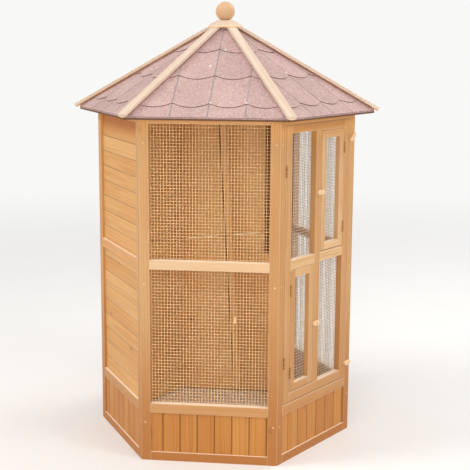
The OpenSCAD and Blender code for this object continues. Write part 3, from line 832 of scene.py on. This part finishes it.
# roof: deck boards, shingle courses, a folded eave edge and a few nails
tabs = {"Tab": 0.142, "Slit": 0.0045, "Thickness": 0.0028, "Columns": 6, "Finish": shingleGrain}
roof = {"slitFloor": 0.0013, "slitInset": 0.004, "slitThick": 0.0003, "scallop": 0.024, "firstCourse": 0.060,
        "exposure": 0.180, "lap": 0.026, "courses": 3, "starter": 0.1, "hipGap": 0.004, "seed": 60}
decking = {**grooves, "Pitch": 0.092, "Joint": 0.0008, "Ease": 0.0003, "Back Ease": 0.0015, "Start": 0.0,
           "Finish": deckPine, "hipGap": 0.0002, "sunk": 0.6}
near, tabThick = 1e-4, tabs["Thickness"]
shingleVerts = [vertex.co for vertex in nodes["roof_shingles"].data.vertices
                if vertex.co.y > 0 and abs(vertex.co.x) <= vertex.co.y * mitre + near]
eaveOut = max(point.y for point in shingleVerts)
eaveTop = max(point.z for point in shingleVerts if point.y > eaveOut - near)
eaveLow = min(point.z for point in shingleVerts if point.y > eaveOut - near)
ridge = max(shingleVerts, key=lambda point: point.z)
holeOut = min(point.y for point in shingleVerts)
pitch = math.atan2(ridge.z - eaveTop, eaveOut - ridge.y)
slopeLength = (eaveOut - holeOut) / math.cos(pitch)
coverThick = (eaveTop - eaveLow) * math.cos(pitch)
deckVerts = [vertex.co for vertex in nodes["back_roof_panel"].data.vertices]
deckOut = max(point.y for point in deckVerts)
deckLow = min(point.z for point in deckVerts)
deckThick = (max(point.z for point in deckVerts if point.y > deckOut - near) - deckLow) * math.cos(pitch)


def slopeTurn(side):  # x along the eave, y up the slope, z out of the roof; origin on the covering at the eave
    return spin(side) @ Matrix.Translation((0, -eaveOut, eaveTop)) @ Matrix.Rotation(pitch, 4, "X")


def hipPlanes(side, gap, outer=None):
    turn, lean = spin(side).to_3x3(), math.radians(sideAngle / 2)
    planes = []
    for hand in (-1, 1):
        normal = turn @ Vector((hand * math.cos(lean), math.sin(lean), 0))
        planes.append((-normal * gap, normal))
    outward = turn @ Vector((0, -1, 0))
    planes.append((outward * holeOut, -outward))
    if outer is not None:
        planes.append((outward * outer, outward))
    return planes


def sunkTabs(values):  # the starter course lies one thickness lower
    mesh = growMesh(shingleTree, values)
    mesh.transform(Matrix.Translation((0, 0, -tabThick)))
    return mesh


courses, slits = [], []
for side in range(sideCount):
    starter = {**tabs, "Length": roof["starter"], "Scallop": 0.0, "Courses": 1, "Exposure": 0.1, "Start": 0.0,
               "Tilt": 0.0, "Seed": roof["seed"] + side}
    laid = {**starter, "Length": roof["exposure"] + roof["lap"], "Scallop": roof["scallop"],
            "Courses": roof["courses"], "Exposure": roof["exposure"], "Start": roof["firstCourse"],
            "Tilt": math.atan2(tabThick, roof["exposure"]), "Seed": roof["seed"] + 10 + side}
    whole = joinMeshes("courses", [sunkTabs(starter), growMesh(shingleTree, laid)])
    whole.transform(slopeTurn(side))
    courses.append(trimMesh(whole, hipPlanes(side, roof["hipGap"], eaveOut)))
    # the slit backing's grey paints the shade of the slits
    closed = {"Slit": 0.0, "Thickness": roof["slitThick"], "Finish": slitGrain}
    behind = growMesh(shingleTree, {**laid, **closed, "Start": roof["firstCourse"] + roof["slitInset"],
                                    "Length": laid["Length"] - 2 * roof["slitInset"]})
    backing = joinMeshes("slitBacking", [behind, sunkTabs({**starter, **closed})])
    backing.transform(slopeTurn(side) @ Matrix.Translation((0, 0, roof["slitFloor"] - tabThick)))
    slits.append(trimMesh(backing, hipPlanes(side, roof["hipGap"], eaveOut - roof["slitInset"])))
shingleMesh = joinMeshes("shingleCourses", courses)
addPiece("shingleCourses", shingleMesh, bodyOf["roof_shingles"], ("roof_shingles",))
addPiece("slitBacking", joinMeshes("slitBacking", slits), "aviary")

panels = {"frontDeck": ("front_roof_panel", 0), "frontRightDeck": ("front_right_roof_panel", 1),
          "backRightDeck": ("back_right_roof_panel", 2), "backDeck": ("back_roof_panel", 3),
          "backLeftDeck": ("back_left_roof_panel", 4), "frontLeftDeck": ("front_left_roof_panel", 5)}
deckDrop, deckBody = coverThick + tabThick * decking["sunk"], deckThick - tabThick * decking["sunk"]
eaveLength = 2 * eaveOut * mitre
# boards lie across the slope: length to x, width up the slope, thickness outwards
deckLay = Matrix(((0, 0, -1, eaveLength / 2), (1, 0, 0, 0), (0, -1, 0, -deckDrop - deckBody / 2), (0, 0, 0, 1)))
for pieceName, (node, side) in panels.items():
    mesh = growMesh(boardTree, {**decking, "Length": eaveLength, "Thickness": deckBody,
                                "Count": math.ceil(slopeLength / decking["Pitch"]) + 1,
                                "Seed": roof["seed"] + 20 + side})
    mesh.transform(slopeTurn(side) @ deckLay)
    addPiece(pieceName, trimMesh(mesh, hipPlanes(side, decking["hipGap"], deckOut)), bodyOf[node], (node,))


# the eave edge: a fold of shingle over a plain foot
eaveStrip = {"back": deckOut + 0.0002, "fold": 0.45, "drop": 0.002, "step": 0.0015, "seam": 0.0001, "under": 0.0015,
             "foldTone": 0.28, "footTone": 1.0, "hipGap": 0.0003}


def mitredStrip(work, side, outline):  # a strip along one eave with its ends cut at the hips
    ends = [[work.verts.new(spin(side) @ Vector((hand * (out * mitre - eaveStrip["hipGap"]), -out, z)))
             for out, z in outline] for hand in (-1, 1)]
    faces = [work.faces.new(ends[0]), work.faces.new(list(reversed(ends[1])))]
    for index in range(len(outline)):
        after = (index + 1) % len(outline)
        faces.append(work.faces.new((ends[0][after], ends[0][index], ends[1][index], ends[1][after])))
    return faces


edgeTop = eaveTop - tabThick / math.cos(pitch)
foldLow = edgeTop + (deckLow - edgeTop) * eaveStrip["fold"]
footTop, footOut, back = foldLow - eaveStrip["seam"], eaveOut - eaveStrip["step"], eaveStrip["back"]
work = bmesh.new()
edgeLayer = work.faces.layers.float.new("cutEdge")
for side in range(sideCount):
    fold = mitredStrip(work, side, [(back, edgeTop), (eaveOut, edgeTop - eaveStrip["drop"]), (eaveOut, foldLow),
                                    (back, foldLow)])
    foot = mitredStrip(work, side, [(back, footTop), (footOut, footTop), (footOut, deckLow - eaveStrip["under"]),
                                    (back, deckLow + 0.0002)])
    for face in fold + foot:
        face[edgeLayer] = eaveStrip["foldTone"] if face in fold else eaveStrip["footTone"]
bmesh.ops.recalc_face_normals(work, faces=work.faces[:])
addPiece("eaveEdge", closeMesh(work, bpy.data.meshes.new("eaveEdge")), "aviary", (), eaveGrain)


# felt under the battens and the cap, so that no light passes the hips
hipFelt = {"width": 0.017, "past": 0.002, "deep": 0.0034, "top": 0.00005, "hipGap": 0.0001, "capMargin": 0.006,
           "capDeep": 0.012, "capTop": 0.0003, "edgeTone": 0.04}


def toneFaces(mesh, value):
    layer = mesh.attributes.new("cutEdge", "FLOAT", "FACE")
    layer.data.foreach_set("value", [value] * len(mesh.polygons))
    return mesh


felts = []
for side in range(sideCount):
    for hand in (-1, 1):
        inner, outer = -hipFelt["width"], hipFelt["past"]
        spots = [(0.0, inner), (0.0, outer), (slopeLength, outer), (slopeLength, inner)]
        ring = [(hand * ((eaveOut - s * math.cos(pitch)) * mitre + across), s) for s, across in spots][::hand]
        strip = prismMesh("hipFelt", [(x, s, -hipFelt["deep"]) for x, s in ring],
                          [(x, s, -hipFelt["top"]) for x, s in ring])
        strip.transform(slopeTurn(side))
        felts.append(toneFaces(trimMesh(strip, hipPlanes(side, hipFelt["hipGap"], eaveOut)), hipFelt["edgeTone"]))
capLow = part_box("roof_cap")[0].z
capReach = holeOut / math.cos(math.radians(sideAngle / 2)) + hipFelt["capMargin"]
angles = [math.radians(sideAngle * corner) for corner in range(sideCount)]
ring = [(capReach * math.cos(angle), capReach * math.sin(angle)) for angle in angles]
capFelt = prismMesh("capFelt", [(x, y, capLow - hipFelt["capDeep"]) for x, y in ring],
                    [(x, y, capLow - hipFelt["capTop"]) for x, y in ring])
felts.append(toneFaces(capFelt, hipFelt["edgeTone"]))
addPiece("hipFelt", joinMeshes("hipFelt", felts), "aviary", (), shingleGrain)
print("roof covered: pitch", round(math.degrees(pitch), 2), "slope", round(slopeLength, 3))


# lining of the boarded sides: flush boards inside, with a slanting open joint and a slot on the back
lining = {**grooves, "Pitch": 0.096, "Joint": 0.0002, "Thickness": 0.005, "Ease": 0.0003, "Back Ease": 0.0005,
          "Finish": liningPine, "clear": 0.0006, "low": 0.006, "high": 1.412, "hipGap": 0.0003, "seed": 120}
openJoint = {"topX": 0.087, "topZ": 1.35, "footX": 0.0045, "gapTop": 0.008, "gapFoot": 0.004, "lath": 0.028,
             "lathRise": 0.001, "slot": (-0.172, -0.135), "slotFoot": midTop - 0.144,
             "feltBox": ((-0.2, 0.17), (0.13, 1.4)), "feltThick": 0.0004, "feltClear": 0.0001}
liningFront, backSide = frameThick + lining["clear"], 3
linedSides = {"backLining": backSide, "backLeftLining": 4, "frontLeftLining": 5}


def liningBoards(seed):
    count = math.ceil((lining["high"] - lining["low"]) / lining["Pitch"])
    run = growMesh(boardTree, {**lining, "Length": 2 * apothem * mitre, "Count": count,
                               "Start": lining["low"] + lining["Pitch"] / 2, "Seed": seed})
    run.transform(Matrix.Translation((apothem * mitre, liningFront + lining["Thickness"] / 2, 0)) @ alongSide)
    return trimMesh(run, [((0, 0, lining["high"]), (0, 0, 1))])


def slantPlane(topX, footX, hand):  # cuts away what lies on the hand side of a slanting line
    return ((footX, 0, 0), Vector((openJoint["topZ"], 0, footX - topX)).normalized() * hand)


def jointEdge(share):  # x of the joint at its top and foot: -1 and 1 are the gap's two edges
    return (openJoint["topX"] + share * openJoint["gapTop"] / 2, openJoint["footX"] + share * openJoint["gapFoot"] / 2)


gapTop, gapFoot = jointEdge(-1)
lathTop, lathFoot = gapTop - openJoint["lath"], gapFoot - openJoint["lath"]


def backLining():
    slotLow, slotHigh = openJoint["slot"]
    level = (0, 0, openJoint["slotFoot"])
    above, below = (level, (0, 0, -1)), (level, (0, 0, 1))
    besideLath = slantPlane(lathTop, lathFoot, 1)
    runs = {3: [[slantPlane(*jointEdge(1), -1)]],
            4: [[besideLath, ((slotHigh, 0, 0), (-1, 0, 0)), above], [((slotLow, 0, 0), (1, 0, 0)), above]],
            5: [[besideLath, below]]}
    return [trimMesh(liningBoards(lining["seed"] + draw), cuts) for draw, fields in runs.items() for cuts in fields]


for pieceName, side in linedSides.items():
    runs = backLining() if side == backSide else [liningBoards(lining["seed"] + side)]
    whole = joinMeshes(pieceName, runs)
    whole.transform(sideTurn(side))
    addPiece(pieceName, trimMesh(whole, hipPlanes(side, lining["hipGap"])), "aviary")


def backSheet(name, ring, inner, outer):  # a flat piece on the back side, drawn in x and z
    return prismMesh(name, [(x, inner, z) for x, z in ring], [(x, outer, z) for x, z in ring])


lathRing = [(lathFoot, 0.0), (gapFoot, 0.0), (gapTop, openJoint["topZ"]), (lathTop, openJoint["topZ"])]
lath = backSheet("jointLath", lathRing, liningFront + lining["Thickness"] + openJoint["lathRise"], liningFront)
trimMesh(lath, [((0, 0, lining["low"]), (0, 0, -1))])
lath.transform(sideTurn(backSide))
planedTimber("jointLath", lath, "aviary", liningPine, 0.0008, 61)
# a dark felt sheet behind the lining's open joint and slot: it paints the shade seen through the gaps
(feltLeft, feltLow), (feltRight, feltHigh) = openJoint["feltBox"]
feltRing = [(feltLeft, feltLow), (feltRight, feltLow), (feltRight, feltHigh), (feltLeft, feltHigh)]
feltFront = frameThick + openJoint["feltClear"]
felt = backSheet("jointFelt", feltRing, feltFront + openJoint["feltThick"], feltFront)
felt.transform(sideTurn(backSide))
addPiece("jointFelt", felt, "aviary", (), roofFelt)
print("sides lined")


# stop beads and thin fillers that close the gaps round the door and the hatches
stops = {"thick": 0.0055, "onFrame": 0.008, "overDoor": 0.0125, "overHatch": 0.0095, "clear": 0.0005, "ease": 0.0008,
         "filler": 0.0024, "headFiller": 0.0042, "fillerFront": 0.0012, "fillerEase": 0.0004, "hingeKeep": 0.0235,
         "seam": 0.0003, "slack": 0.0002, "seed": 70}
doorSide = 1


def beadRing(low, high, outside, inside, front, back):  # four beads round an opening of the door side
    left, right, foot, head = low.x - outside, high.x + outside, low.z - outside, high.z + outside
    width = outside + inside
    innerLeft, innerRight = left + width + stops["seam"], right - width - stops["seam"]
    return boxesMesh([((left, front, foot), (left + width, back, head)),
                      ((right - width, front, foot), (right, back, head)),
                      ((innerLeft, front, foot), (innerRight, back, foot + width)),
                      ((innerLeft, front, head - width), (innerRight, back, head))])


def gapBeads(low, high, hingeSide, hingeSpots, back):  # thin strips on the opening's own edges
    thick, front, keep = stops["filler"], stops["fillerFront"], stops["hingeKeep"]
    innerLeft, innerRight = low.x + thick + stops["seam"], high.x - thick - stops["seam"]
    boxes = [((innerLeft, front, low.z), (innerRight, back, low.z + thick)),
             ((innerLeft, front, high.z - stops["headFiller"]), (innerRight, back, high.z))]
    for hand, x in ((-1, low.x), (1, high.x - thick)):
        breaks = [z + side * keep for z in sorted(hingeSpots) for side in (-1, 1)] if hand == hingeSide else []
        ends = [low.z, *breaks, high.z]
        boxes += [((x, front, foot), (x + thick, back, head)) for foot, head in zip(ends[::2], ends[1::2])]
    return boxesMesh(boxes)


def addBeads(name, mesh, body, ease, seed):
    mesh.transform(sideTurn(doorSide))
    planedTimber(name, mesh, body, framePine, ease, stops["seed"] + seed)


def hingeHeights(node, x):  # middles of a node's hinges near one edge
    back = sideTurn(doorSide).inverted()
    points = [back @ vertex.co for vertex in nodes[node].data.vertices]
    heights = sorted(point.z for point in points if abs(point.x - x) < 0.01)
    middle = (heights[0] + heights[-1]) / 2
    groups = [z for z in heights if z < middle], [z for z in heights if z > middle]
    return [(group[0] + group[-1]) / 2 for group in groups]


doorLow, doorHigh = Vector((-innerWidth / 2, 0, lowerTop)), Vector((innerWidth / 2, 0, upperTop))
stopFront = frameThick + stops["clear"]
doorBeads = beadRing(doorLow, doorHigh, stops["onFrame"], stops["overDoor"], stopFront, stopFront + stops["thick"])
addBeads("doorStops", doorBeads, "aviary", stops["ease"], 0)
doorHinges = hingeHeights("frame_hinge_leaves", doorLow.x)
doorFill = gapBeads(doorLow, doorHigh, -1, doorHinges, frameThick - stops["clear"])
addBeads("doorFillers", doorFill, "aviary", stops["fillerEase"], 5)

hatches = {"upperHatch": ("upper_hatch_stiles", 1), "lowerHatch": ("lower_hatch_stiles", -1)}  # node, hinge side
hatchGap = sideBox("upper_hatch_stiles", doorSide)[0].x - sideBox("main_door_muntin", doorSide)[1].x
reach = Vector((hatchGap - stops["slack"], 0, hatchGap - stops["slack"]))
for index, (hatch, (node, hingeSide)) in enumerate(hatches.items()):
    low, high = sideBox(node, doorSide)
    hatchBeads = beadRing(low - reach, high + reach, 0.0, stops["overHatch"], high.y + stops["clear"],
                          frameThick - stops["slack"])
    addBeads(hatch + "Stops", hatchBeads, "main_door", stops["ease"], 1 + index)
    edge = (high.x + hatchGap) if hingeSide > 0 else (low.x - hatchGap)
    hatchFill = gapBeads(low - reach, high + reach, hingeSide, hingeHeights("door_hatch_hinge_leaves", edge),
                         high.y - stops["clear"])
    addBeads(hatch + "Fillers", hatchFill, "main_door", stops["fillerEase"], 6 + index)
print("stops set")


# roof nails, hinges, and cross-head screws on the turn buttons and along the corner stiles
roofNails = {"Radius": 0.0042, "Rise": 0.0014, "Cross": 0.001, "Lift": 0.1, "Finish": nailZinc, "others": 4, "seed": 90,
             "front": [(0.004, 0.088), (0.141, 0.091), (-0.025, 0.328), (0.023, 0.439)], "hipClear": 0.03,
             "spread": 0.02, "upSlope": (0.01, 0.06)}
buttonScrews = {"Radius": 0.0045, "Rise": 0.0013, "Cross": 0.0056, "Lift": 0.0, "Finish": screwZinc, "stand": 1.01}
frameScrews = {"Radius": 0.0032, "Rise": 0.0005, "Cross": 0.0040, "Lift": 0.0, "Finish": screwBrass, "stand": 0.2,
               "inset": 0.0155, "heights": (0.16, 0.727, 1.28)}
hingeNodes = ("frame_hinge_leaves", "main_door_hinge_leaves", "door_hatch_hinge_leaves", "upper_hatch_hinge_leaves",
              "lower_hatch_hinge_leaves")
outward = [sideTurn(side).to_3x3() @ Vector((0, -1, 0)) for side in range(sideCount)]


def screwMesh(points, look):  # points: place and the way the head faces
    return growMesh(screwTree, look, pointMesh([place for place, _ in points], "facing", [way for _, way in points]))


nailDraw = random.Random(roofNails["seed"])


def drawnNail():
    x = nailDraw.choice((-1, 0, 1)) * tabs["Tab"] * nailDraw.choice((0.5, 1))
    x += nailDraw.uniform(-roofNails["spread"], roofNails["spread"])
    s = roof["firstCourse"] + roof["scallop"] + roof["exposure"] * nailDraw.randrange(3)
    return x, s + nailDraw.uniform(*roofNails["upSlope"])


nailPoints = []
for side in range(sideCount):
    turn = slopeTurn(side)
    for x, s in [drawnNail() for _ in range(roofNails["others"])] if side else roofNails["front"]:
        if abs(x) < (eaveOut - s * math.cos(pitch)) * mitre - roofNails["hipClear"]:
            course = (s - roof["firstCourse"]) % roof["exposure"]
            lift = -course * tabThick / roof["exposure"]
            nailPoints.append((turn @ Vector((x, s, lift)), turn.to_3x3() @ Vector((0, 0, 1))))
addPiece("roofNails", screwMesh(nailPoints, roofNails), "aviary")

for node in hingeNodes:
    nodes[node].data.materials.clear()
    nodes[node].data.materials.append(hingeSteel)

for pieceName, node in (("frameButtonScrews", "frame_button_screws"), ("doorButtonScrews", "door_button_screws")):
    work = openMesh(nodes[node].data)
    bmesh.ops.remove_doubles(work, verts=work.verts[:], dist=mergeReach)
    spots = []
    for island, _, _ in islandsOf(work):
        low, high = boxOf([sideTurn(doorSide).inverted() @ vertex.co for vertex in island])
        place = Vector(((low.x + high.x) / 2, low.y + buttonScrews["Rise"] * buttonScrews["stand"],
                        (low.z + high.z) / 2))
        spots.append((sideTurn(doorSide) @ place, outward[doorSide]))
    work.free()
    addPiece(pieceName, screwMesh(spots, buttonScrews), bodyOf[node], (node,))
cornerX, stand = apothem * mitre - frameScrews["inset"], frameScrews["Rise"] * frameScrews["stand"]
spots = [(sideTurn(side) @ Vector((hand * cornerX, stand, z)), outward[side])
         for side in range(sideCount) for hand in (-1, 1) for z in frameScrews["heights"]]
addPiece("frameScrews", screwMesh(spots, frameScrews), "aviary")
print("fixings set:", len(nailPoints) + len(spots))


# floor, light and camera
studio = {"floorSize": 80.0, "floor": rgb(236, 234, 230), "backdrop": rgb(248, 248, 247), "fade": (1.6, 7.5),
          "sky": rgb(252, 252, 255), "horizon": 0.33, "zenith": 0.72, "aim": (0, 0, 0.9),
          "lamps": [((0.4, -6.2, 1.9), 2.6, 82.0), ((0.0, -3.2, 6.0), 2.2, 46.0), ((-4.6, -1.8, 5.0), 3.0, 165.0),
                    ((4.6, -2.6, 4.2), 2.8, 90.0), ((3.4, 3.0, 4.6), 2.6, 110.0)]}  # place, size, power
cameraView = {"place": (0.5774, -4.5733, 1.6998), "target": (0.0452, 0.0057, 0.8424), "roll": 0.3466, "lens": 83.72,
              "sensor": 36.0}


def makeFloor():
    half = studio["floorSize"] / 2
    corners = [(-half, -half, 0), (half, -half, 0), (half, half, 0), (-half, half, 0)]
    mesh = plainMesh("floor", corners, [(0, 1, 2, 3)])
    material, r = newFinish("floorPale")
    place = r.objectPlace()
    colour = r.scaled(studio["floor"][:3], 0.98 + r.noise(place, 3.0, 4.0) * 0.04)
    lit = r.node("ShaderNodeBsdfPrincipled", {"Base Color": colour, "Roughness": 0.8, "Specular IOR Level": 0.2})
    white = r.node("ShaderNodeEmission", {"Color": studio["backdrop"], "Strength": 1.0})
    distance = r.node("ShaderNodeVectorMath", {0: place}, "Value", operation="LENGTH")
    seen = r.node("ShaderNodeLightPath", {}, "Is Camera Ray")
    faded = r.node("ShaderNodeMixShader", {0: seen * r.ranged(distance, *studio["fade"]), 1: lit, 2: white})
    r.node("ShaderNodeOutputMaterial", {0: faded})
    mesh.materials.append(material)
    addObject("floor", mesh)


def makeWorld():
    world = bpy.data.worlds.new("paleSky")
    bpy.context.scene.world = world
    world.use_nodes = True
    world.node_tree.nodes.clear()
    r = Recipe(world.node_tree)
    seen = r.node("ShaderNodeLightPath", {}, "Is Camera Ray")
    shown = seen.maths("MAXIMUM", seen.sibling("Is Glossy Ray")).maths("MAXIMUM", seen.sibling("Is Transmission Ray"))
    height = r.parts(r.node("ShaderNodeTexCoord", {}, "Generated"))[2]
    strength = r.ranged(height, 0.0, 0.9, studio["horizon"], studio["zenith"])
    light = r.node("ShaderNodeBackground", {"Color": studio["sky"], "Strength": strength})
    white = r.node("ShaderNodeBackground", {"Color": studio["backdrop"], "Strength": 1.0})
    r.node("ShaderNodeOutputWorld", {0: r.node("ShaderNodeMixShader", {0: shown, 1: light, 2: white})})


def makeLamps():
    for index, (place, size, power) in enumerate(studio["lamps"]):
        lamp = bpy.data.lights.new("softLamp%d" % index, "AREA")
        lamp.shape, lamp.size, lamp.energy = "DISK", size, power
        holder = addObject(lamp.name, lamp)
        holder.location = place
        aim = Vector(studio["aim"]) - Vector(place)
        holder.rotation_euler = aim.to_track_quat("-Z", "Y").to_euler()


def makeCamera():
    data = bpy.data.cameras.new("camera")
    data.lens, data.sensor_width = cameraView["lens"], cameraView["sensor"]
    camera = addObject("camera", data)
    ahead = (Vector(cameraView["target"]) - Vector(cameraView["place"])).normalized()
    right = ahead.cross(Vector((0, 0, 1))).normalized()
    up = right.cross(ahead)
    roll = math.radians(cameraView["roll"])
    rightRolled = right * math.cos(roll) + up * math.sin(roll)
    upRolled = up * math.cos(roll) - right * math.sin(roll)
    turn = Matrix((rightRolled, upRolled, -ahead)).transposed()
    camera.matrix_world = Matrix.Translation(cameraView["place"]) @ turn.to_4x4()
    bpy.context.scene.camera = camera


makeFloor()
makeWorld()
makeLamps()
makeCamera()
bpy.context.scene.view_settings.view_transform = "Standard"
print("studio set")

bpy.context.view_layer.update()
